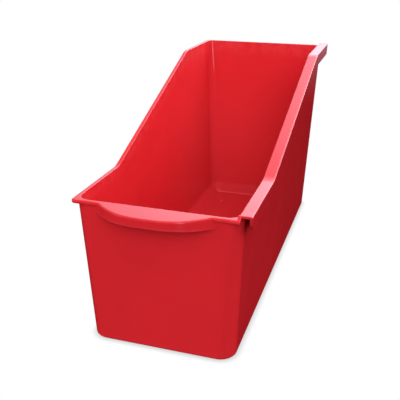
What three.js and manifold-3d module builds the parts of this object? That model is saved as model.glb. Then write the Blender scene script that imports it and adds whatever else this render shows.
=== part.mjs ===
// Interlocking classroom book bin: one injection moulding in glossy red polypropylene.
//
// Frame: millimetres, +Z up. The origin is the centre of the flat underside that the bin rests on.
// -Y is the low front with the pull handle, +Y the tall back, +X the right side with the hook rail
// and -X the left side with the narrow rim that the next bin's rail hooks over.
//
// The bin is a drafted rounded box, open at the top. Its top edge runs level at the front, climbs
// along both sides and runs level again to the back. Along the left, front and back it ends in a
// small bead. Along the right it stands a little higher and folds over into a rail with a hanging
// skirt. At the front a crescent with a deeper skirt reaches out from the rim: the finger pull.

import * as THREE from 'three';
import { mergeVertices } from 'three/addons/utils/BufferGeometryUtils.js';
import Module from 'manifold-3d';

const { degToRad, lerp } = THREE.MathUtils;

// ---- driving dimensions -------------------------------------------------------------------------
const BASE_W = 110.6; // underside, side to side, between the outer wall faces
const BASE_L = 318.8; // underside, front to back
const WALL = 2.3; // wall and floor thickness
const SIDE_DRAFT = 2.4; // degrees, each wall leans outwards
const FRONT_DRAFT = 1.5;
const BACK_DRAFT = 1.2;
const FRONT_CORNER_R = { base: 12.6, top: 10.2 }; // outer radii, at the underside and at BACK_H
const BACK_CORNER_R = { base: 14, top: 8.4 };
const MIN_CORNER_R = 0.8; // no outline corner is sharper than this
const CORNER_STEPS = 8;
const BASE_EDGE = 1.6; // height of the chamfer round the lower edge
const BASE_EDGE_IN = BASE_EDGE * 0.6; // and its width
const FLOOR_FILLET = 12; // inner floor-to-wall radius, carried as flats
const FLOOR_STEPS = 4; // this many

const FRONT_H = 113; // top edge along the front
const BACK_H = 176; // top edge along the back
const SLOPE_Y0 = -90.75; // the climb starts here
const SLOPE_Y1 = 85.75; // and ends here
const KNEE_R = 26; // rounding of the two knees in the top edge
const KNEE_STEPS = 5;

const BEAD_OUT = 1.25; // rim bead, proud of the wall
const BEAD_H = 2.6;
const BEAD_CORNER_R = 3.3; // the bead is squarer than the wall at the corners
const BEAD_END = -0.95; // where the bead stops at the right, from the wall's outer face

const RAIL_RISE = 2; // the rail's top stands this much above the top edge line
const RAIL_OUT = 6.4; // skirt's outer face, proud of the wall
const RAIL_T = 1.8; // plate and skirt thickness
const RAIL_DROP = 11.5; // plate top to skirt bottom
const RAIL_FRONT_INSET = 2.9; // rail's front end, behind the front wall's face at FRONT_H
const RAIL_NOSE_R = 9.6; // rounded lower front corner of the skirt
const RAIL_NOSE_STEPS = 6;
const SKIRT_TOP_INSET = 0.2; // the skirt starts this much below the plate's top face

const GUSSET_W = 2.2; // gusset thickness, side to side
const GUSSET_OVERLAP = 3; // it runs this far back past the rail's front end
const GUSSET_FRONT_STEP = 0.8; // its front upper corner, below the front rim

const PULL_HALF = 42.6; // crescent half width where it leaves the wall
const PULL_OUT = 17.1; // crescent reach, proud of the wall
const PULL_T = 2; // crescent plate and skirt thickness
const PULL_DROP = 7; // plate top to skirt bottom, in the middle
const PULL_ARCH = 2; // and this much more at the two ends
const PULL_ROOT = 0.8; // the crescent is sunk this far into the wall
const PULL_STEPS = 32;
const ARCH_STEPS = 16;

// Working solids overshoot the bin, so that cuts never end on its faces.
const TALL = BACK_H + 30; // top of the working solids
const UPPER_Z0 = 60; // bottom of those used only near the rim
const BELOW_FLOOR = -20; // bottom of the side profile

// ---- solids helpers -----------------------------------------------------------------------------
const wasm = await Module();
wasm.setup();

function solid(geometry) {
  // Only positions may count when vertices are merged, or the mesh would stay open at its edges.
  for (const name of Object.keys(geometry.attributes)) {
    if (name !== 'position') geometry.deleteAttribute(name);
  }
  const merged = mergeVertices(geometry, 1e-4);
  return new wasm.Manifold(new wasm.Mesh({
    numProp: 3,
    vertProperties: new Float32Array(merged.attributes.position.array),
    triVerts: new Uint32Array(merged.index.array),
  }));
}

function geometryOf(manifold) {
  const mesh = manifold.getMesh();
  const geometry = new THREE.BufferGeometry();
  const positions = new Float32Array(mesh.vertProperties);
  geometry.setAttribute('position', new THREE.BufferAttribute(positions, 3));
  geometry.setIndex(new THREE.BufferAttribute(new Uint32Array(mesh.triVerts), 1));
  geometry.computeVertexNormals();
  return geometry;
}

function polygon(points) {
  const shape = new THREE.Shape(points.map(([x, y]) => new THREE.Vector2(x, y)));
  shape.closePath();
  return shape;
}

// A side view (y, z), extruded towards +X from x0.
function extrudeX(shape, x0, depth, curveSegments = 1) {
  const geometry = new THREE.ExtrudeGeometry(shape, { depth, bevelEnabled: false, curveSegments });
  geometry.applyMatrix4(new THREE.Matrix4().set(0, 0, 1, x0, 1, 0, 0, 0, 0, 1, 0, 0, 0, 0, 0, 1));
  return solid(geometry);
}

// A front view (x, z), extruded towards -Y from y1.
function extrudeY(shape, y1, depth) {
  const geometry = new THREE.ExtrudeGeometry(shape, { depth, bevelEnabled: false });
  geometry.applyMatrix4(new THREE.Matrix4().set(1, 0, 0, 0, 0, 0, -1, y1, 0, 1, 0, 0, 0, 0, 0, 1));
  return solid(geometry);
}

// A plan view (x, y), extruded towards +Z from z0.
function extrudeZ(shape, z0, depth) {
  const geometry = new THREE.ExtrudeGeometry(shape, { depth, bevelEnabled: false });
  geometry.translate(0, 0, z0);
  return solid(geometry);
}

// ---- the drafted rounded box --------------------------------------------------------------------
const tanDegrees = (degrees) => Math.tan(degToRad(degrees));
const wallX = (z) => BASE_W / 2 + z * tanDegrees(SIDE_DRAFT);
const frontY = (z) => -BASE_L / 2 - z * tanDegrees(FRONT_DRAFT);
const backY = (z) => BASE_L / 2 + z * tanDegrees(BACK_DRAFT);
const cornerR = (radii, z) => lerp(radii.base, radii.top, z / BACK_H);

// One level of a stack: the outer wall face's outline at height z, moved outwards by offset
// (negative: inwards), as a ring of points.
function level(
  z,
  offset,
  frontRadius = cornerR(FRONT_CORNER_R, z) + offset,
  backRadius = cornerR(BACK_CORNER_R, z) + offset,
) {
  const frontR = Math.max(frontRadius, MIN_CORNER_R);
  const backR = Math.max(backRadius, MIN_CORNER_R);
  const x = wallX(z) + offset;
  const y0 = frontY(z) - offset;
  const y1 = backY(z) + offset;
  // arc centre x, arc centre y, start angle in degrees, radius
  const corners = [
    [x - frontR, y0 + frontR, -90, frontR],
    [x - backR, y1 - backR, 0, backR],
    [-x + backR, y1 - backR, 90, backR],
    [-x + frontR, y0 + frontR, 180, frontR],
  ];
  const ring = [];
  for (const [centreX, centreY, start, radius] of corners) {
    for (let i = 0; i <= CORNER_STEPS; i++) {
      const angle = degToRad(start + (90 * i) / CORNER_STEPS);
      ring.push(new THREE.Vector2(
        centreX + radius * Math.cos(angle),
        centreY + radius * Math.sin(angle),
      ));
    }
  }
  return { z, ring };
}

// A stack of levels as one closed solid: a unit-step extrusion of the first ring, whose vertices
// are then moved to the matching points of each level's own ring.
function draftedStack(levels) {
  const base = levels[0].ring;
  const steps = levels.length - 1;
  const geometry = new THREE.ExtrudeGeometry(
    new THREE.Shape(base),
    { depth: steps, steps, bevelEnabled: false },
  );
  const positions = geometry.attributes.position;
  for (let i = 0; i < positions.count; i++) {
    const x = positions.getX(i);
    const y = positions.getY(i);
    const index = base.findIndex((p) => Math.abs(p.x - x) < 1e-3 && Math.abs(p.y - y) < 1e-3);
    const { z, ring } = levels[Math.round(positions.getZ(i))];
    positions.setXYZ(i, ring[index].x, ring[index].y, z);
  }
  return solid(geometry);
}

function makeInner() {
  const levels = [];
  for (let i = 0; i <= FLOOR_STEPS; i++) {
    const angle = ((Math.PI / 2) * i) / FLOOR_STEPS;
    const z = WALL + FLOOR_FILLET * (1 - Math.cos(angle));
    levels.push(level(z, -WALL - FLOOR_FILLET * (1 - Math.sin(angle))));
  }
  return draftedStack([...levels, level(TALL, -WALL)]);
}

// ---- the top edge line --------------------------------------------------------------------------
// Rounds a knee with a curve between the points where an arc of KNEE_R would touch the two lines.
function addKnee(path, before, knee, after) {
  const back = new THREE.Vector2().subVectors(before, knee).normalize();
  const ahead = new THREE.Vector2().subVectors(after, knee).normalize();
  const tangent = KNEE_R / Math.tan(Math.acos(back.dot(ahead)) / 2);
  const from = knee.clone().addScaledVector(back, tangent);
  const to = knee.clone().addScaledVector(ahead, tangent);
  path.lineTo(from.x, from.y);
  path.quadraticCurveTo(knee.x, knee.y, to.x, to.y);
}

// Everything below the top edge line shifted up by rise, right across the bin.
function below(rise) {
  const front = new THREE.Vector2(-BASE_L, FRONT_H + rise);
  const lowKnee = new THREE.Vector2(SLOPE_Y0, FRONT_H + rise);
  const highKnee = new THREE.Vector2(SLOPE_Y1, BACK_H + rise);
  const back = new THREE.Vector2(BASE_L, BACK_H + rise);
  const side = new THREE.Shape();
  side.moveTo(front.x, BELOW_FLOOR);
  side.lineTo(front.x, front.y);
  addKnee(side, front, lowKnee, highKnee);
  addKnee(side, lowKnee, highKnee, back);
  side.lineTo(back.x, back.y);
  side.lineTo(back.x, BELOW_FLOOR);
  side.closePath();
  return extrudeX(side, -BASE_W, 2 * BASE_W, KNEE_STEPS);
}

// The band that follows the top edge line between two shifts of it.
const edgeBand = (top, bottom) => below(top).subtract(below(bottom));

// A slab parallel to the drafted right wall, between two distances from its outer face.
function rightSlab(inside, outside, y0, y1) {
  const section = polygon([
    [wallX(UPPER_Z0) + inside, UPPER_Z0],
    [wallX(UPPER_Z0) + outside, UPPER_Z0],
    [wallX(TALL) + outside, TALL],
    [wallX(TALL) + inside, TALL],
  ]);
  return extrudeY(section, y1, y1 - y0);
}

// ---- places shared by the pieces ----------------------------------------------------------------
const faceY = frontY(FRONT_H); // front wall's outer face at the rim
const railY0 = faceY + RAIL_FRONT_INSET;
const railY1 = backY(BACK_H);
const inner = makeInner();

const railSlab = (inside, outside) => rightSlab(inside, outside, railY0, railY1);

// ---- walls and floor ----------------------------------------------------------------------------
// The walls end at the top edge line; the right wall stands RAIL_RISE higher along the rail.
function makeWalls() {
  const outer = draftedStack([level(0, -BASE_EDGE_IN), level(BASE_EDGE, 0), level(TALL, 0)]);
  const shell = outer.subtract(inner);
  const raised = shell.intersect(below(RAIL_RISE)).intersect(railSlab(-WALL, BASE_W));
  return shell.intersect(below(0)).add(raised);
}

// ---- rim bead: left, front and back -------------------------------------------------------------
function makeBead() {
  const beadLevel = (z) => level(z, BEAD_OUT, BEAD_CORNER_R, BEAD_CORNER_R);
  return draftedStack([beadLevel(UPPER_Z0), beadLevel(TALL)])
    .subtract(inner)
    .intersect(edgeBand(0, -BEAD_H))
    .intersect(rightSlab(-2 * BASE_W, BEAD_END, -BASE_L, BASE_L));
}

// ---- hook rail: right side ----------------------------------------------------------------------
function makeRailPlate() {
  return railSlab(-WALL, RAIL_OUT).intersect(edgeBand(RAIL_RISE, RAIL_RISE - RAIL_T));
}

// Cuts the skirt's lower front corner round, so the rail rides up on to the next bin's rim.
function makeNoseCutter() {
  const margin = 2;
  const cutterX0 = 45;
  const cutterW = 40;
  const skirtZ = FRONT_H + RAIL_RISE - RAIL_DROP;
  const arcY = railY0 + RAIL_NOSE_R;
  const arcZ = skirtZ + RAIL_NOSE_R;
  const nose = new THREE.Shape();
  nose.moveTo(railY0 - margin, skirtZ - margin);
  nose.lineTo(arcY, skirtZ - margin);
  nose.lineTo(arcY, skirtZ);
  nose.absarc(arcY, arcZ, RAIL_NOSE_R, -Math.PI / 2, -Math.PI, true);
  nose.lineTo(railY0 - margin, arcZ);
  nose.closePath();
  return extrudeX(nose, cutterX0, cutterW, RAIL_NOSE_STEPS);
}

function makeRailSkirt() {
  return railSlab(RAIL_OUT - RAIL_T, RAIL_OUT)
    .intersect(edgeBand(RAIL_RISE - SKIRT_TOP_INSET, RAIL_RISE - RAIL_DROP))
    .subtract(makeNoseCutter());
}

// A small gusset carries the front bead up to the plate's front edge.
function makeGusset() {
  const beadFront = faceY - BEAD_OUT;
  const rearY = railY0 + GUSSET_OVERLAP;
  const side = polygon([
    [beadFront, FRONT_H - BEAD_H],
    [rearY, FRONT_H - BEAD_H],
    [rearY, FRONT_H + RAIL_RISE],
    [railY0, FRONT_H + RAIL_RISE],
    [beadFront, FRONT_H - GUSSET_FRONT_STEP],
  ]);
  return extrudeX(side, wallX(FRONT_H) + BEAD_END - GUSSET_W, GUSSET_W).subtract(inner);
}

// ---- crescent finger pull -----------------------------------------------------------------------
const PULL_BOTTOM = FRONT_H - PULL_DROP - PULL_ARCH;

// A crescent block from z0 to z1, its outline drawn in by shrink.
function crescent(shrink, z0, z1) {
  // Full reach in the middle, falling away steeply past the shoulders.
  const shoulderPower = 2.8;
  const tipPower = 1.2;
  const half = PULL_HALF - shrink;
  const points = [[-half, faceY + PULL_ROOT]];
  for (let i = 0; i <= PULL_STEPS; i++) {
    const x = -half * Math.cos((Math.PI * i) / PULL_STEPS);
    const across = Math.min(1, Math.abs(x) / half);
    const reach = (PULL_OUT - shrink) * (1 - across ** shoulderPower) ** tipPower;
    points.push([x, faceY - reach]);
  }
  points.push([half, faceY + PULL_ROOT]);
  return extrudeZ(polygon(points), z0, z1 - z0);
}

// Cuts the skirt's lower edge to an arch, higher in the middle.
function makeArchCutter() {
  const margin = 5;
  const behindFace = 20;
  const depth = 60;
  const endX = PULL_HALF + margin;
  const points = [[-endX, PULL_BOTTOM - margin], [-endX, PULL_BOTTOM]];
  for (let i = 0; i <= ARCH_STEPS; i++) {
    const x = PULL_HALF * ((2 * i) / ARCH_STEPS - 1);
    points.push([x, FRONT_H - PULL_DROP - PULL_ARCH * (x / PULL_HALF) ** 2]);
  }
  points.push([endX, PULL_BOTTOM], [endX, PULL_BOTTOM - margin]);
  return extrudeY(polygon(points), faceY + behindFace, depth);
}

function makePull() {
  const hollow = crescent(PULL_T, PULL_BOTTOM - 1, FRONT_H - PULL_T);
  return crescent(0, PULL_BOTTOM, FRONT_H).subtract(hollow).subtract(makeArchCutter());
}

// ---- scene graph --------------------------------------------------------------------------------
const glossyRed = new THREE.MeshStandardMaterial({
  color: 0xc8202a,
  roughness: 0.24,
  metalness: 0,
});

const bin = makeWalls()
  .add(makeBead())
  .add(makeRailPlate())
  .add(makeRailSkirt())
  .add(makeGusset())
  .add(makePull());

const bookBin = new THREE.Mesh(geometryOf(bin), glossyRed);
bookBin.name = 'book_bin';

const group = new THREE.Group();
group.add(bookBin);

export default group;
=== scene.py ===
import math

import bmesh
import bpy
import numpy as np
from mathutils import Matrix, Vector


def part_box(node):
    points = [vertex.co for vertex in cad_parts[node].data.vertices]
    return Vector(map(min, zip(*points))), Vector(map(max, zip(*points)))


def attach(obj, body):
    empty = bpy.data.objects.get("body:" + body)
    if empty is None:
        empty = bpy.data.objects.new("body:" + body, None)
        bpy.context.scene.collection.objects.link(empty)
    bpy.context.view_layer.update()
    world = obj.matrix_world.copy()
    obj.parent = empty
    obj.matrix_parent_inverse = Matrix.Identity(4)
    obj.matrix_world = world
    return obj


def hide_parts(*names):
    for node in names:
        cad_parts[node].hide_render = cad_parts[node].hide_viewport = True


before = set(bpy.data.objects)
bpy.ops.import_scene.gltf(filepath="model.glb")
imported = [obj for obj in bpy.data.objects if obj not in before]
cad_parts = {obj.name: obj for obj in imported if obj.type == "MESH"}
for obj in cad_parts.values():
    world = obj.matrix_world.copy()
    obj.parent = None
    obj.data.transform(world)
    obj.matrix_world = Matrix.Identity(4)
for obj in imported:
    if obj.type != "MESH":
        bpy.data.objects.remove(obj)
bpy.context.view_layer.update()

# =====================================================================================================
# Book bin, the looks. One glossy red polypropylene moulding, remade here as a fine surface with its
# moulded radii. Lengths are millimetres up to place(), which turns them into metres.
# =====================================================================================================
MM = 0.001
BOX_LOW, BOX_HIGH = (np.array(v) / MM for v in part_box("book_bin"))


def tan(degrees):
    return math.tan(math.radians(degrees))


SIDE, FRONT, BACK = tan(2.4), tan(1.5), tan(1.2)      # wall drafts
WALL = 2.3
BEAD_OUT, BEAD_H, BEAD_R = 1.25, 2.6, 3.3             # rim bead, and its plan radius at the corners
BEAD_END = -0.95                                      # where the bead stops at the right, from the wall's outer face
RAIL_RISE, RAIL_OUT, RAIL_T, RAIL_DROP = 2.0, 6.4, 1.8, 11.5
RAIL_INSET, NOSE_R = 2.9, 9.6
PULL_HALF, PULL_OUT, PULL_T, PULL_DROP, PULL_ARCH = 42.6, 17.1, 2.0, 7.0, 2.0
FRONT_H = 113.0
BACK_H = BOX_HIGH[2] - RAIL_RISE
HALF_W = BOX_HIGH[0] - RAIL_OUT - BOX_HIGH[2] * SIDE
HALF_L = -BOX_LOW[1] - PULL_OUT - FRONT_H * FRONT
SLOPE_0, SLOPE_1, KNEE = -90.75, 85.75, 4.4
BASE_R = 1.8                                          # lower outer edge radius
HAUNCH_IN, HAUNCH_UP = 8.3, 8.0                       # sloping band between floor and walls inside: in from the wall, up it
HAUNCH_LOW_R, HAUNCH_TOP_R = 2.5, 6.0                 # its radii at the floor and at the wall


def wall_x(z):
    return HALF_W + z * SIDE


def front_y(z):
    return -HALF_L - z * FRONT


def back_y(z):
    return HALF_L + z * BACK


def corner_r(z, back=False):
    """Outer radius of the vertical corners, front or back, at height z."""
    low, high = (14.0, 8.4) if back else (12.6, 10.2)
    return low + (high - low) * z / 176.0


def edge_z(y):
    """Height of the rim at y: level, climbing, level, with two rounded knees."""
    k = (BACK_H - FRONT_H) / (SLOPE_1 - SLOPE_0)
    if y < SLOPE_0 - KNEE:
        return FRONT_H
    if y < SLOPE_0 + KNEE:
        return FRONT_H + k * (y - SLOPE_0 + KNEE) ** 2 / (4 * KNEE)
    if y < SLOPE_1 - KNEE:
        return FRONT_H + k * (y - SLOPE_0)
    if y < SLOPE_1 + KNEE:
        return BACK_H - k * (SLOPE_1 + KNEE - y) ** 2 / (4 * KNEE)
    return BACK_H


def place(name, points, faces):
    """A mesh object from millimetre points, with coincident points merged."""
    mesh = bpy.data.meshes.new(name)
    mesh.from_pydata([tuple(p) for p in np.asarray(points, float) * MM], [], faces)
    bm = bmesh.new()
    bm.from_mesh(mesh)
    bmesh.ops.remove_doubles(bm, verts=bm.verts, dist=2e-7)
    bmesh.ops.dissolve_degenerate(bm, edges=bm.edges, dist=1e-7)
    bmesh.ops.recalc_face_normals(bm, faces=bm.faces)
    bm.to_mesh(mesh)
    bm.free()
    obj = bpy.data.objects.new(name, mesh)
    bpy.context.scene.collection.objects.link(obj)
    return obj


def arc(n):
    """(inset share, drop share) along a quarter round, from the flat it leaves to the flat it joins."""
    return [(1 - math.sin(a), 1 - math.cos(a)) for a in (math.pi / 2 * i / n for i in range(n + 1))]


# ---- the walls, floor and rim bead: one loft round the bin ---------------------------------------------
def plan(st, z, off, radius=None):
    """Point of station st on the outline at height z, moved out by off, with its own corner radius."""
    side, p = st
    r = max(corner_r(z, side[0] == "B") + off, 0.6) if radius is None else radius
    x, y0, y1 = wall_x(z) + off, front_y(z) - off, back_y(z) + off
    if side == "F":
        return p, y0
    if side == "B":
        return p, y1
    if side == "R":
        return x, p
    if side == "L":
        return -x, p
    c, s = math.cos(math.radians(p)), math.sin(math.radians(p))   # p: angle from the front or back normal
    sx = 1 if side[1] == "R" else -1
    if side[0] == "F":
        return sx * (x - r + r * s), y0 + r - r * c
    return sx * (x - r + r * s), y1 - r + r * c


def bead_plan(st, z, off, rho):
    """Point of station st on the bead's squarer outline."""
    side, p = st
    if len(side) == 1:
        return plan(st, z, off)
    r = corner_r(z, side[0] == "B")
    cx, cy = wall_x(z) - r, (front_y(z) + r if side[0] == "F" else back_y(z) - r)
    u = r + off
    if side[1] == "R":       # straight on along the front or back, to the bead's cut end
        return cx + r * math.sin(math.radians(p)), (cy - u if side[0] == "F" else cy + u)
    du, dv = math.sin(math.radians(p)), math.cos(math.radians(p))
    k = u - rho
    if dv > 0 and u * du / dv <= k:
        a, b = u * du / dv, u
    elif du > 0 and u * dv / du <= k:
        a, b = u, u * dv / du
    else:
        dc = (du + dv) * k
        t = dc + math.sqrt(max(dc * dc - 2 * k * k + rho * rho, 0))
        a, b = t * du, t * dv
    return -(cx + a), (cy - b if side[0] == "F" else cy + b)


def cut(z, back):
    """Angle round the corner where the bead is cut off."""
    return math.degrees(math.asin((corner_r(z, back) + BEAD_END) / corner_r(z, back)))


CUT_F, CUT_B = cut(FRONT_H, False), cut(BACK_H, True)

stations = []   # (side, place on it), bead there or not


def run(side, values, bead=True):
    for v in values:
        stations.append(((side, v), bead))


def spread(lo, hi, step):
    n = max(1, round((hi - lo) / step))
    return [lo + (hi - lo) * i / n for i in range(n + 1)]


def lengthwise():
    ys = spread(-145, SLOPE_0 - KNEE - 1.5, 4.5) + spread(SLOPE_0 - KNEE, SLOPE_0 + KNEE, 0.55)
    ys += spread(SLOPE_0 + KNEE + 1.5, SLOPE_1 - KNEE - 1.5, 4.5) + spread(SLOPE_1 - KNEE, SLOPE_1 + KNEE, 0.55)
    return ys + spread(SLOPE_1 + KNEE + 1.5, 145, 4.5)


TURN = spread(0, 33, 3) + spread(34.2, 55.8, 1.2) + spread(57, 90, 3)
run("F", spread(-40, 40, 4))
run("FR", spread(0, CUT_F, 3))
run("FR", spread(CUT_F, 90, 3), bead=False)
run("R", lengthwise(), bead=False)
run("BR", spread(CUT_B, 90, 3)[::-1], bead=False)
run("BR", spread(0, CUT_B, 3)[::-1])
run("B", spread(-40, 40, 4)[::-1])
run("BL", TURN)
run("L", lengthwise()[::-1])
run("FL", TURN[::-1])


def profile(st, bead):
    """The section at one station, from the middle of the floor, up the inside, over the rim, down the outside
    and in under the base."""
    out = []

    def ring(z, off, radius=None):
        x, y = plan(st, z, off, radius)
        out.append((x, y, z))

    def inward(z, off, shares):
        """Points on the flat at height z, from its rim towards the bin's middle line."""
        x, y = plan(st, z, off)
        spine = HALF_L - HALF_W
        sx, sy = 0.0, max(-spine, min(spine, y))
        out.extend((x + (sx - x) * t, y + (sy - y) * t, z) for t in shares)

    slope = math.atan2(HAUNCH_UP, HAUNCH_IN)
    low_at = HAUNCH_IN + HAUNCH_LOW_R * math.tan(slope / 2)
    top_at = HAUNCH_UP + HAUNCH_TOP_R * math.tan((math.pi / 2 - slope) / 2)
    inward(WALL, -WALL - low_at, (0.85, 0.55, 0.28, 0.08))
    for i in range(7):
        t = slope * i / 6
        ring(WALL + HAUNCH_LOW_R * (1 - math.cos(t)), -WALL - low_at + HAUNCH_LOW_R * math.sin(t))
    for i in range(7):
        t = slope + (math.pi / 2 - slope) * i / 6
        ring(WALL + top_at - HAUNCH_TOP_R * math.cos(t), -WALL - HAUNCH_TOP_R * (1 - math.sin(t)))
    start = WALL + top_at
    # height of the rim here
    y = plan(st, 140, 0)[1]
    top = edge_z(y)
    lip = 0.4
    for t in [i / 9 for i in range(1, 10)]:
        z = start + (top - lip - start) * t
        ring(z, -WALL)
    inner = []
    for a, b in [(1 - s, d) for s, d in arc(4)][1:]:
        # inner lip: turn from the wall on to the flat top
        x0, y0 = plan(st, top, -WALL + lip * b)
        out.append((x0, y0, top - lip * (1 - a)))
        inner = (x0, y0)
    if bead:
        fillet, foot, root = 1.3, 0.45, 0.5
        x1, y1 = bead_plan(st, top, BEAD_OUT - fillet, BEAD_R - fillet)
        out.append((inner[0] + (x1 - inner[0]) * 0.3, inner[1] + (y1 - inner[1]) * 0.3, top))
        out.append((inner[0] + (x1 - inner[0]) * 0.65, inner[1] + (y1 - inner[1]) * 0.65, top))
        for s, d in arc(7):
            x, yy = bead_plan(st, top, BEAD_OUT - fillet * s, BEAD_R - fillet * s)
            out.append((x, yy, top - fillet * d))
        for s, d in arc(4)[::-1]:
            x, yy = bead_plan(st, top - BEAD_H, BEAD_OUT - foot * s, BEAD_R - foot * s)
            out.append((x, yy, top - BEAD_H + foot * d))
        low = top - BEAD_H
        xb, yb = bead_plan(st, low, BEAD_OUT - foot, BEAD_R - foot)
        xw, yw = plan(st, low, root if len(st[0]) == 1 else 0.5)
        out.append(((xb + xw) / 2, (yb + yw) / 2, low))
        for s, d in arc(4):
            ring(low - root * d, root * s)
        z1 = low - root
    else:
        # bare wall: its top is hidden inside the rail's plate
        hidden, r = 1.0, 0.3
        xo, yo = plan(st, top, -r)
        reach = abs(xo - inner[0])
        share = min(0.9, max(0.05, (wall_x(top) - 2.0 - inner[0]) / reach)) if reach > 1e-6 else 0.5
        px, py = inner[0] + (xo - inner[0]) * share, inner[1] + (yo - inner[1]) * share
        out.append((px, py, top))
        out.append((px + (xo - px) * 0.02, py + (yo - py) * 0.02, top + hidden))
        for s, d in arc(7):
            ring_z = top + hidden - r * d
            x, yy = plan(st, ring_z, -r * s)
            out.append((x, yy, ring_z))
        z0, z1 = top + hidden - r, top - BEAD_H - 0.5
        for i in range(1, 12):
            ring(z0 + (z1 - z0) * i / 11, 0)
    for t in [i / 9 for i in range(1, 10)]:
        ring(z1 + (BASE_R - z1) * t, 0)
    for i in range(1, 8):
        a = math.pi / 2 * i / 7
        ring(BASE_R * (1 - math.sin(a)), -BASE_R * (1 - math.cos(a)))
    inward(0, -BASE_R, (0.06, 0.28, 0.55, 0.85))
    return out


def loft(name, sections, closed=True):
    """A closed body from equal-length sections: round the bin, or end to end with two flat ends."""
    m = len(sections[0])
    assert all(len(s) == m for s in sections)
    points = [p for s in sections for p in s]
    faces = []
    n = len(sections)
    if closed:      # sections are open runs joined in a ring; first and last rings are capped
        for i in range(n):
            a, b = i * m, ((i + 1) % n) * m
            for k in range(m - 1):
                faces.append((a + k, b + k, b + k + 1, a + k + 1))
        faces.append([i * m for i in range(n)][::-1])
        faces.append([i * m + m - 1 for i in range(n)])
    else:           # sections are loops joined end to end
        for i in range(n - 1):
            a, b = i * m, (i + 1) * m
            for k in range(m):
                q = (k + 1) % m
                faces.append((a + k, b + k, b + q, a + q))
        faces.append(list(range(m))[::-1])
        faces.append([(n - 1) * m + k for k in range(m)])
    return place(name, points, faces)


body = loft("book_bin_moulding", [profile(st, bead) for st, bead in stations])


# ---- the hook rail: plate, skirt and the root that sits in the right wall ------------------------------
def corner(cx, cz, r, a0, a1, n):
    """Points of an arc in the section plane, centre (cx, cz), angles in degrees from +x."""
    return [(cx + r * math.cos(math.radians(a0 + (a1 - a0) * i / n)), cz + r * math.sin(math.radians(a0 + (a1 - a0) * i / n)))
            for i in range(n + 1)]


def rail_section(bottom):
    """The rail's section as (distance from the wall's outer face, height above the rim) points, clockwise from
    the inner foot. bottom is the skirt's lower edge."""
    top, under = RAIL_RISE, RAIL_RISE - RAIL_T
    o, i = RAIL_OUT, RAIL_OUT - RAIL_T
    depth = under - bottom
    rb = max(0.03, min(0.6, depth * 0.45))
    rc = max(0.03, min(0.8, depth * 0.45))
    pts = [(-2.33, -1.0)] + [(-2.33, -1.0 + (top - 0.4 + 1.0) * t) for t in (0.5,)]
    pts += corner(-2.33 + 0.45, top - 0.45, 0.45, 180, 90, 4)
    pts += [(-2.33 + (o + 2.33) * t, top) for t in (0.3, 0.5, 0.7)]
    pts += corner(o - 0.95, top - 0.95, 0.95, 90, 0, 6)
    side0, side1 = top - 0.95, bottom + rb
    pts += [(o, side0 + (side1 - side0) * t) for t in (0.25, 0.5, 0.75)]
    pts += corner(o - rb, bottom + rb, rb, 0, -90, 4)
    pts += corner(i + rb, bottom + rb, rb, -90, -180, 4)
    up0, up1 = bottom + rb, under - rc
    pts += [(i, up0 + (up1 - up0) * t) for t in (0.33, 0.66)]
    pts += corner(i - rc, under - rc, rc, 0, 90, 4)
    pts += [(i * 0.5, under), (-1.1, under), (-1.1, -1.0)]
    return pts


def shrink(pts, d):
    """A section pulled in by d all round."""
    n = len(pts)
    out = []
    for k in range(n):
        ax, az = pts[k - 1]
        bx, bz = pts[k]
        cx, cz = pts[(k + 1) % n]
        e0, e1 = Vector((bx - ax, bz - az)), Vector((cx - bx, cz - bz))
        if e0.length < 1e-9 or e1.length < 1e-9:
            e0 = e1 = e0 if e0.length > e1.length else e1
        e0.normalize(), e1.normalize()
        n0, n1 = Vector((-e0.y, e0.x)), Vector((-e1.y, e1.x))      # outwards for a clockwise run
        m = n0 + n1
        if m.length < 1e-6:
            m = n0
        m.normalize()
        f = d / max(0.5, m.dot(n0))
        out.append((bx - m.x * f, bz - m.y * f))
    return out


RAIL_0 = front_y(FRONT_H) + RAIL_INSET
RAIL_1 = back_y(BACK_H)
END_R = 0.35
ends = [(END_R * (1 - math.cos(math.pi / 2 * i / 4)), END_R * (1 - math.sin(math.pi / 2 * i / 4))) for i in range(5)]
rail_ys = [(RAIL_0 + a, b) for a, b in ends]
rail_ys += [(RAIL_0 + NOSE_R * (1 - math.cos(math.pi / 2 * i / 18)), 0) for i in range(5, 19)]
rail_ys += [(y, 0) for y in lengthwise() if RAIL_0 + NOSE_R + 1 < y < RAIL_1 - 2]
rail_ys += [(y, 0) for y in (150, 156) if y < RAIL_1 - 2]
rail_ys += [(RAIL_1 - a, b) for a, b in ends[::-1]]
rail_ys = sorted(set(rail_ys))
sections = []
for y, pulled in rail_ys:
    s = min(NOSE_R, y - RAIL_0)
    lift = NOSE_R - math.sqrt(max(0.0, NOSE_R ** 2 - (NOSE_R - s) ** 2))
    sec = rail_section(RAIL_RISE - RAIL_DROP + lift)
    if pulled > 1e-9:
        sec = shrink(sec, pulled)
    e = edge_z(y)
    sections.append([(wall_x(e + dz) + dx, y, e + dz) for dx, dz in sec])
rail = loft("rail", sections, closed=False)

# ---- the crescent finger pull --------------------------------------------------------------------------
FACE = front_y(FRONT_H)


def reach(x):
    t = min(1.0, abs(x) / PULL_HALF)
    return PULL_OUT * (1 - t ** 2.8) ** 1.2


curve = []
N = 120
for i in range(N + 1):
    x = -PULL_HALF * math.cos(math.pi * i / N)
    curve.append(np.array([x, FACE - reach(x)]))
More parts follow.
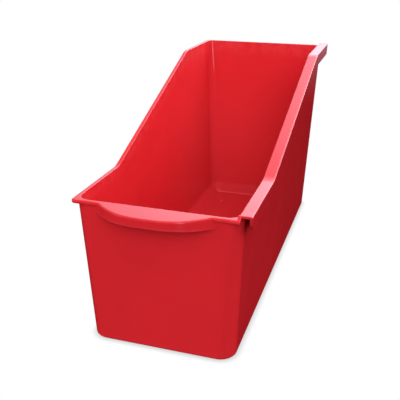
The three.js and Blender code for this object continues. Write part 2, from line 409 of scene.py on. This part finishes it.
# carry both ends a little way into the wall
first = (curve[0] - curve[2]) / np.linalg.norm(curve[0] - curve[2])
last = (curve[-1] - curve[-3]) / np.linalg.norm(curve[-1] - curve[-3])
curve = [curve[0] + first * 0.6 / max(first[1], 0.3)] + curve + [curve[-1] + last * 0.6 / max(last[1], 0.3)]
sections = []
for i, c in enumerate(curve):
    a, b = curve[max(0, i - 1)], curve[min(len(curve) - 1, i + 1)]
    t = (b - a) / np.linalg.norm(b - a)
    n = np.array([t[1], -t[0]])          # outwards, towards the front

    def at(d, c=c, n=n):
        p = c - n * d
        return p[0], min(p[1], FACE + 1.3 + 0.12 * d)

    low = FRONT_H - PULL_DROP - PULL_ARCH * (min(abs(c[0]), PULL_HALF) / PULL_HALF) ** 2
    fr, rb, rc = 1.25, 0.55, 0.7
    inner_x = at(PULL_T + rc)[0] * 0.995
    sec = [(inner_x, FACE + 1.9, FRONT_H)]
    edge = at(fr)
    sec.append((inner_x + (edge[0] - inner_x) * 0.5, (FACE + 1.9) + (edge[1] - FACE - 1.9) * 0.5, FRONT_H))
    for s, d in arc(7):
        sec.append((*at(fr * s), FRONT_H - fr * d))
    z0, z1 = FRONT_H - fr, low + rb
    sec += [(*at(0), z0 + (z1 - z0) * q) for q in (0.33, 0.66)]
    for s, d in arc(4)[::-1]:
        sec.append((*at(rb * s), low + rb * d))
    for s, d in arc(4):
        sec.append((*at(PULL_T - rb * s), low + rb * d))
    z0, z1 = low + rb, FRONT_H - PULL_T - rc
    sec += [(*at(PULL_T), z0 + (z1 - z0) * q) for q in (0.33, 0.66)]
    for k in range(5):
        a = math.pi / 2 * k / 4
        sec.append((*at(PULL_T + rc * (1 - math.cos(a))), FRONT_H - PULL_T - rc * (1 - math.sin(a))))
    sec.append((inner_x, FACE + 1.9, FRONT_H - PULL_T))
    sections.append(sec)
pull = loft("pull", sections, closed=False)

# ---- the gusset from the front bead up to the rail's plate ------------------------------------------------
bm = bmesh.new()
g0, g1 = wall_x(FRONT_H) - 3.1, wall_x(FRONT_H) - 0.9
side_view = [(FACE - 1.15, FRONT_H - 2.2), (FACE + 5.0, FRONT_H - 2.2), (FACE + 5.0, FRONT_H + 1.9),
             (RAIL_0 + 0.3, FRONT_H + 1.9), (FACE - 1.15, FRONT_H - 0.7)]
left = [bm.verts.new((g0, y, z)) for y, z in side_view]
right = [bm.verts.new((g1, y, z)) for y, z in side_view]
bm.faces.new(left)
bm.faces.new(right[::-1])
for i in range(5):
    j = (i + 1) % 5
    bm.faces.new((left[j], left[i], right[i], right[j]))
bmesh.ops.recalc_face_normals(bm, faces=bm.faces)
bmesh.ops.bevel(bm, geom=list(bm.edges), offset=0.3, segments=3, profile=0.5, affect="EDGES")
for v in bm.verts:
    v.co *= MM
mesh = bpy.data.meshes.new("gusset")
bm.to_mesh(mesh)
bm.free()
gusset = bpy.data.objects.new("gusset", mesh)
bpy.context.scene.collection.objects.link(gusset)

# ---- the gate pip on the floor, near the back ----------------------------------------------------------------
GATE = (-32.35, 121.6)
sections = []
for k in range(28):
    a = 2 * math.pi * k / 28
    sections.append([(GATE[0] + r * math.cos(a), GATE[1] + r * math.sin(a), z) for r, z in
                     ((0.25, WALL + 0.80), (0.65, WALL + 0.70), (0.98, WALL + 0.46), (1.2, WALL + 0.12), (1.3, WALL - 0.6), (0.4, WALL - 0.6))])
pip = loft("pip", sections)

# ---- join them into the one moulding ----------------------------------------------------------------------------
for part in (rail, pull, gusset, pip):
    m = body.modifiers.new("join", "BOOLEAN")
    m.operation, m.solver, m.object = "UNION", "MANIFOLD", part
    bpy.context.view_layer.update()
    joined = bpy.data.meshes.new_from_object(body.evaluated_get(bpy.context.evaluated_depsgraph_get()))
    body.modifiers.clear()
    old = body.data
    body.data = joined
    bpy.data.meshes.remove(old)
    bpy.data.objects.remove(part)

bm = bmesh.new()
bm.from_mesh(body.data)
bmesh.ops.triangulate(bm, faces=[f for f in bm.faces if len(f.verts) > 4], ngon_method="BEAUTY")
bm.to_mesh(body.data)
bm.free()
body.data.name = "book_bin_moulding"
for p in body.data.polygons:
    p.use_smooth = True
body.data.set_sharp_from_angle(angle=math.radians(32))
soft = body.modifiers.new("normals", "WEIGHTED_NORMAL")
soft.mode, soft.weight, soft.keep_sharp = "FACE_AREA", 50, True

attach(body, "root")
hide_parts("book_bin")


# ---- how sharply the surface turns, kept on the mesh so that the finish can wear where hands rub it ---------------------
def curvature(mesh, rounds=2):
    """Signed bend of the surface at each vertex in 1/mm: above zero on outside edges, below zero in inside corners."""
    n = len(mesh.vertices)
    co, no = np.empty(n * 3), np.empty(n * 3)
    mesh.vertices.foreach_get("co", co)
    mesh.vertex_normals.foreach_get("vector", no)
    co, no = co.reshape(-1, 3) / MM, no.reshape(-1, 3)
    ends = np.empty(len(mesh.edges) * 2, int)
    mesh.edges.foreach_get("vertices", ends)
    a, b = ends.reshape(-1, 2).T
    step = co[b] - co[a]
    size = np.maximum((step ** 2).sum(1), 1e-6)
    bend = np.clip(((no[b] - no[a]) * step).sum(1) / size, -2.0, 2.0)
    strongest = np.zeros(n)
    for ends_at in (a, b):
        high, low = np.zeros(n), np.zeros(n)
        np.maximum.at(high, ends_at, bend)
        np.minimum.at(low, ends_at, bend)
        pick = np.where(high > -low, high, low)
        strongest = np.where(np.abs(pick) > np.abs(strongest), pick, strongest)
    near = np.exp(-size / 1.2 ** 2)
    for _ in range(rounds):
        total, weight = strongest.copy(), np.ones(n)
        for p, q in ((a, b), (b, a)):
            np.add.at(total, p, strongest[q] * near)
            np.add.at(weight, p, near)
        strongest = total / weight
    return strongest


bend = body.data.attributes.new("bend", "FLOAT", "POINT")
bend.data.foreach_set("value", curvature(body.data).astype(np.float32))


def sheltered(mesh):
    """0 to 1 at each vertex: how far down inside the bin it is, counted more towards the tall back."""
    co = np.empty(len(mesh.vertices) * 3)
    mesh.vertices.foreach_get("co", co)
    x, y, z = (co.reshape(-1, 3) / MM).T
    inside = (np.abs(x) < wall_x(z) - 1.2) & (y > front_y(z) + 1.2) & (y < back_y(z) - 1.2) & (z > 1.2)
    rim = np.array([edge_z(v) for v in y])
    deep = np.clip((rim - z) / 110.0, 0, 1)
    far = np.clip((y + 30.0) / 150.0, 0, 1)
    return inside * deep * far * far * (3 - 2 * far)


# dust settled low inside, more towards the back, which also paints in the paler sheen there: partly dust, partly
# painted sheen
dust_and_sheen = body.data.attributes.new("dust_and_sheen", "FLOAT", "POINT")
dust_and_sheen.data.foreach_set("value", sheltered(body.data).astype(np.float32))


BASE = (0.76, 0.022, 0.0308)     # pigment
ROUGH = 0.11
PAINTED_HIGHLIGHT_Y = back_y(WALL) - WALL - 8.2     # y of the painted highlight line at the foot of the back wall


# ---- material -------------------------------------------------------------------------------------------------------
def plastic():
    """Glossy injection-moulded polypropylene: pigment that is not quite even, faint flow lines spreading from the
    floor, the gentle ripple of a moulded skin, fine scuffs, and edges rubbed a little paler and duller."""
    mat = bpy.data.materials.new("moulded_polypropylene")
    mat.use_nodes = True
    nt = mat.node_tree
    nt.nodes.clear()

    def node(kind, inputs=None, **props):
        n = nt.nodes.new("ShaderNode" + kind)
        for key, value in props.items():
            setattr(n, key, value)
        for key, value in (inputs or {}).items():
            if isinstance(value, bpy.types.NodeSocket):
                nt.links.new(value, n.inputs[key])
            else:
                n.inputs[key].default_value = value
        return n

    def math_node(op, a, b=0.0):
        return node("Math", {0: a, 1: b}, operation=op).outputs[0]

    def ramp(value, lo, hi, out_lo, out_hi):
        return node("MapRange", {"Value": value, "From Min": lo, "From Max": hi, "To Min": out_lo, "To Max": out_hi},
                    interpolation_type="SMOOTHSTEP").outputs["Result"]

    def noise(scale, detail=2.0, rough=0.5, warp=0.0, at=None):
        return node("TexNoise", {"Vector": at or place_at, "Scale": scale, "Detail": detail, "Roughness": rough,
                                 "Distortion": warp}).outputs["Fac"]

    place_at = node("TexCoord").outputs["Object"]

    # pigment: broad mottling, flow lines, fine speckle
    mottle = ramp(noise(16, 3, 0.55, 0.6), 0.3, 0.7, 0.972, 1.024)
    flow = node("TexWave", {"Vector": place_at, "Scale": 9.0, "Distortion": 7.0, "Detail": 3.0, "Detail Scale": 1.4,
                            "Detail Roughness": 0.6}, wave_type="RINGS", rings_direction="SPHERICAL").outputs["Fac"]
    flow = ramp(flow, 0.0, 1.0, 0.988, 1.010)
    speck = ramp(noise(2300, 1), 0.35, 0.65, 0.992, 1.008)
    even = math_node("MULTIPLY", math_node("MULTIPLY", mottle, flow), speck)
    base = node("RGB")
    base.outputs[0].default_value = (*BASE, 1)
    tint = node("VectorMath", {0: base.outputs[0]}, operation="SCALE")
    nt.links.new(even, tint.inputs["Scale"])

    # wear: outside edges, broken up, and small handling marks on the flats
    turn = node("Attribute", attribute_name="bend", attribute_type="GEOMETRY").outputs["Fac"]
    edge = math_node("MULTIPLY", ramp(turn, 0.25, 1.1, 0, 1), ramp(noise(120, 4, 0.62), 0.40, 0.60, 0.15, 1))
    crease = ramp(turn, -0.9, -0.06, 1, 0)

    def scratches(angle, scale, thin):
        spun = node("Mapping", {"Vector": place_at, "Rotation": angle, "Scale": scale}).outputs["Vector"]
        line = noise(1.0, 1.0, 0.4, 0.0, at=spun)
        return ramp(math_node("ABSOLUTE", math_node("SUBTRACT", line, 0.5)), 0.0, thin, 1, 0)

    patches = ramp(noise(17, 3, 0.6), 0.54, 0.72, 0, 1)
    lines = math_node("MAXIMUM", scratches((0.3, 0.5, 0.2), (1500, 75, 75), 0.010), scratches((1.2, 0.2, 0.9), (80, 1400, 70), 0.008))
    lines = math_node("MAXIMUM", lines, scratches((0.6, 1.0, 2.0), (70, 80, 1500), 0.008))
    scuffs = math_node("MULTIPLY", lines, patches)

    rubbed = node("Mix", {"Factor": math_node("MULTIPLY", edge, 0.30)}, data_type="RGBA")
    nt.links.new(tint.outputs["Vector"], rubbed.inputs["A"])
    rubbed.inputs["B"].default_value = (min(1, BASE[0] * 1.06), BASE[1] + 0.045, BASE[2] + 0.045, 1)
    # a film of fine dust low down inside that also paints in a paler sheen, a painted highlight line along the foot of
    # the back wall, and a painted highlight on the gate pip
    deep = node("Attribute", attribute_name="dust_and_sheen", attribute_type="GEOMETRY").outputs["Fac"]
    dust_and_sheen_film = node("Mix", {"Factor": math_node("MULTIPLY", deep, ramp(noise(38, 4, 0.6, 0.4), 0.3, 0.7, 0.85, 1.0))}, data_type="RGBA")
    nt.links.new(rubbed.outputs["Result"], dust_and_sheen_film.inputs["A"])
    dust_and_sheen_film.inputs["B"].default_value = (0.75, 0.037, 0.048, 1)
    axes = node("SeparateXYZ", {0: place_at}).outputs
    # painted highlight: a thin pale line along the foot of the back wall
    along = math_node("ABSOLUTE", math_node("SUBTRACT", axes[1], PAINTED_HIGHLIGHT_Y * MM))
    line = math_node("MULTIPLY", ramp(along, 0.0003, 0.0012, 1, 0), ramp(axes[2], 0.004, 0.006, 1, 0))
    line = math_node("MULTIPLY", math_node("MULTIPLY", line, deep), ramp(noise(60, 2), 0.35, 0.65, 0.45, 0.8))
    # painted highlight on the gate pip
    off_gate = node("VectorMath", {0: place_at, 1: (GATE[0] * MM, GATE[1] * MM, WALL * MM)}, operation="DISTANCE").outputs["Value"]
    line = math_node("MAXIMUM", line, math_node("MULTIPLY", ramp(off_gate, 0.0010, 0.0014, 1, 0), 0.55))
    painted_highlights = node("Mix", {"Factor": line}, data_type="RGBA")
    nt.links.new(dust_and_sheen_film.outputs["Result"], painted_highlights.inputs["A"])
    # colour of the painted highlights
    painted_highlights.inputs["B"].default_value = (0.90, 0.13, 0.14, 1)

    # gloss
    rough = math_node("ADD", ROUGH, ramp(noise(7, 3, 0.6), 0.3, 0.7, -0.02, 0.03))
    rough = math_node("ADD", rough, ramp(noise(900, 2), 0.3, 0.7, -0.008, 0.008))
    rough = math_node("ADD", rough, math_node("MULTIPLY", edge, 0.10))
    rough = math_node("ADD", rough, math_node("MULTIPLY", scuffs, 0.015))
    rough = math_node("ADD", rough, math_node("MULTIPLY", crease, 0.05))

    # relief: slow sink and warp, the moulded skin's ripple, and a fine tooth
    normal = None
    for height, depth in ((noise(26, 1.5), 0.8e-4), (noise(230, 1.5), 1.4e-5), (noise(2100, 2), 8e-7)):
        step = node("Bump", {"Strength": 1.0, "Distance": depth, "Height": height})
        if normal is not None:
            nt.links.new(normal, step.inputs["Normal"])
        normal = step.outputs["Normal"]

    bsdf = node("BsdfPrincipled", {"Base Color": painted_highlights.outputs["Result"], "Roughness": rough, "IOR": 1.49,
                                   "Normal": normal})
    node("OutputMaterial", {"Surface": bsdf.outputs["BSDF"]})
    return mat


body.data.materials.clear()
body.data.materials.append(plastic())

# ---- stage: pale floor, soft studio light, camera --------------------------------------------------------------------
# Soft sources round the bin: (compass angle from +Y towards +X, height angle, tightness, strength).
SOFT = [
    (252, 8, 14, 5.439),
    (18, 30, 12, 1.607),
    (54, 30, 12, 2.197),
    (126, 30, 12, 0.46),
    (162, 30, 12, 4.841),
    (60, 55, 9, 2.748),
]
FLOOR_BOUNCE = 0.02                       # what the pale floor sends back up, apart from how the camera sees it
CONTACT, SHADE = 0.0048, 0.31             # how far the contact shadow reaches, and how dark it gets
COOL = (0.76, 1.0, 1.16, 1)               # the panel behind is a little cooler than the key light


def studio(nt, direction):
    """What stands round the bin, as brightness against direction: what lights it, and what its gloss mirrors."""
    def op(kind, a, b=None, c=None):
        n = nt.nodes.new("ShaderNodeMath")
        n.operation = kind
        for socket, v in zip(n.inputs, (a, b, c)):
            if isinstance(v, bpy.types.NodeSocket):
                nt.links.new(v, socket)
            elif v is not None:
                socket.default_value = v
        return n.outputs[0]

    def step(value, lo, hi, out_lo=0.0, out_hi=1.0):
        n = nt.nodes.new("ShaderNodeMapRange")
        n.interpolation_type = "SMOOTHSTEP"
        nt.links.new(value, n.inputs["Value"])
        for name, v in (("From Min", lo), ("From Max", hi), ("To Min", out_lo), ("To Max", out_hi)):
            n.inputs[name].default_value = v
        return n.outputs["Result"]

    def bell(value, middle, width):
        d = op("DIVIDE", op("SUBTRACT", value, middle), width)
        return op("EXPONENT", op("MULTIPLY", op("MULTIPLY", d, d), -0.5))

    unit = nt.nodes.new("ShaderNodeVectorMath")
    unit.operation = "NORMALIZE"
    nt.links.new(direction, unit.inputs[0])
    light = None
    for compass, height, tight, strength in SOFT:
        a, e = math.radians(compass), math.radians(height)
        dot = nt.nodes.new("ShaderNodeVectorMath")
        dot.operation = "DOT_PRODUCT"
        nt.links.new(unit.outputs["Vector"], dot.inputs[0])
        dot.inputs[1].default_value = (math.sin(a) * math.cos(e), math.cos(a) * math.cos(e), math.sin(e))
        lobe = op("MULTIPLY", op("EXPONENT", op("MULTIPLY", op("SUBTRACT", dot.outputs["Value"], 1.0), tight)), strength)
        light = lobe if light is None else op("ADD", light, lobe)
    # mirrored: a big soft panel behind, a brighter one to its right that the rail's outer edge catches, dim walls in front, a strip low on the right front, a tube overhead
    parts = nt.nodes.new("ShaderNodeSeparateXYZ")
    nt.links.new(unit.outputs["Vector"], parts.inputs[0])
    x, y, z = parts.outputs
    compass = op("MULTIPLY", op("ARCTAN2", x, y), 180 / math.pi)
    height = op("MULTIPLY", op("ARCSINE", z), 180 / math.pi)
    upright = op("MULTIPLY", step(height, -14.5, 24.5), step(height, 54.0, 72.0, 1.0, 0.06))
    panel = op("MULTIPLY", op("MULTIPLY", bell(compass, 12.0, 25.0), upright), PANEL)
    walls = op("MULTIPLY", step(height, 0.0, 30.0, 0.0, 0.15), step(height, 48.0, 66.0, 1.0, 0.35))
    strip = op("MULTIPLY", op("MULTIPLY", bell(compass, 153.0, 4.5), bell(height, -2.0, 9.0)), STRIP)
    lamp = op("MULTIPLY", op("MULTIPLY", bell(y, -0.02, 0.03), step(z, 0.85, 0.95)), LAMP)
    wing = op("MULTIPLY", bell(compass, 40.0, 13.0), op("MULTIPLY", step(height, 2.0, 16.0), step(height, 36.0, 56.0, 1.0, 0.0)))
    mirrored = op("ADD", op("ADD", panel, walls), op("ADD", op("ADD", strip, lamp), op("MULTIPLY", wing, WING)))
    return light, mirrored


PANEL, WING, STRIP, LAMP = 3.78, 3.6, 5.8, 1.6

floor_mesh = bpy.data.meshes.new("floor")
floor_mesh.from_pydata([(-4, -4, 0), (4, -4, 0), (4, 4, 0), (-4, 4, 0)], [], [(0, 1, 2, 3)])
floor = bpy.data.objects.new("floor", floor_mesh)
bpy.context.scene.collection.objects.link(floor)
floor_mat = bpy.data.materials.new("floor")
floor_mat.use_nodes = True
floor_mat.cycles.emission_sampling = "NONE"
nt = floor_mat.node_tree
nt.nodes.clear()
floor_out = nt.nodes.new("ShaderNodeOutputMaterial")
# the floor glows evenly for the camera, with a painted contact shadow where ambient occlusion darkens the glow near the
# bin
near = nt.nodes.new("ShaderNodeAmbientOcclusion")
near.samples = 24
near.inputs["Distance"].default_value = CONTACT
painted_contact_shadow = nt.nodes.new("ShaderNodeMapRange")
nt.links.new(near.outputs["AO"], painted_contact_shadow.inputs["Value"])
for name, v in (("From Min", 0.45), ("From Max", 1.0), ("To Min", 1.0 - SHADE), ("To Max", 1.0)):
    painted_contact_shadow.inputs[name].default_value = v
floor_glow = nt.nodes.new("ShaderNodeEmission")
nt.links.new(painted_contact_shadow.outputs["Result"], floor_glow.inputs["Strength"])
path = nt.nodes.new("ShaderNodeLightPath")
glow = nt.nodes.new("ShaderNodeEmission")
glow.name = "bounce"
glow.inputs["Color"].default_value = (FLOOR_BOUNCE, FLOOR_BOUNCE, FLOOR_BOUNCE, 1)
away = nt.nodes.new("ShaderNodeVectorMath")
away.operation = "SCALE"
away.inputs["Scale"].default_value = -1.0
nt.links.new(nt.nodes.new("ShaderNodeNewGeometry").outputs["Incoming"], away.inputs[0])
mirror = nt.nodes.new("ShaderNodeEmission")
mirror.name = "mirrored"
mirror.inputs["Color"].default_value = COOL
nt.links.new(studio(nt, away.outputs["Vector"])[1], mirror.inputs["Strength"])
shader = floor_glow.outputs["Emission"]
for ray, other in (("Is Diffuse Ray", glow), ("Is Glossy Ray", mirror)):
    mix = nt.nodes.new("ShaderNodeMixShader")
    nt.links.new(path.outputs[ray], mix.inputs["Fac"])
    nt.links.new(shader, mix.inputs[1])
    nt.links.new(other.outputs["Emission"], mix.inputs[2])
    shader = mix.outputs["Shader"]
below = nt.nodes.new("ShaderNodeMixShader")     # seen from underneath the floor is clear, so the base can be looked at
nt.links.new(nt.nodes.new("ShaderNodeNewGeometry").outputs["Backfacing"], below.inputs["Fac"])
nt.links.new(shader, below.inputs[1])
nt.links.new(nt.nodes.new("ShaderNodeBsdfTransparent").outputs["BSDF"], below.inputs[2])
nt.links.new(below.outputs["Shader"], floor_out.inputs["Surface"])
floor_mesh.materials.append(floor_mat)

world = bpy.data.worlds.new("studio")
bpy.context.scene.world = world
world.use_nodes = True
nt = world.node_tree
nt.nodes.clear()
facing = nt.nodes.new("ShaderNodeTexCoord").outputs["Generated"]
light, mirrored = studio(nt, facing)
path = nt.nodes.new("ShaderNodeLightPath")
gloss = nt.nodes.new("ShaderNodeMix")
nt.links.new(path.outputs["Is Glossy Ray"], gloss.inputs["Factor"])
nt.links.new(light, gloss.inputs["A"])
nt.links.new(mirrored, gloss.inputs["B"])
seen = nt.nodes.new("ShaderNodeMix")
nt.links.new(path.outputs["Is Camera Ray"], seen.inputs["Factor"])
nt.links.new(gloss.outputs["Result"], seen.inputs["A"])
seen.inputs["B"].default_value = 1.0
sky = nt.nodes.new("ShaderNodeBackground")
cast = nt.nodes.new("ShaderNodeMix")
cast.data_type = "RGBA"
nt.links.new(path.outputs["Is Glossy Ray"], cast.inputs["Factor"])
cast.inputs["A"].default_value, cast.inputs["B"].default_value = (1, 1, 1, 1), COOL
nt.links.new(cast.outputs["Result"], sky.inputs["Color"])
nt.links.new(seen.outputs["Result"], sky.inputs["Strength"])
nt.links.new(sky.outputs["Background"], nt.nodes.new("ShaderNodeOutputWorld").inputs["Surface"])

cam_data = bpy.data.cameras.new("camera")
cam_data.sensor_width = 36
cam_data.lens = 36 * 620.24 / 400
cam_data.clip_start, cam_data.clip_end = 0.01, 100
cam = bpy.data.objects.new("camera", cam_data)
bpy.context.scene.collection.objects.link(cam)
cam.location = (0.14381, -0.51116, 0.2760)
yaw, pitch = math.radians(17.74), math.radians(22.56)
look = Vector((-math.sin(yaw) * math.cos(pitch), math.cos(yaw) * math.cos(pitch), -math.sin(pitch)))
cam.rotation_mode = "QUATERNION"
cam.rotation_quaternion = look.to_track_quat("-Z", "Y")
bpy.context.scene.camera = cam
bpy.context.scene.view_settings.view_transform = "Standard"
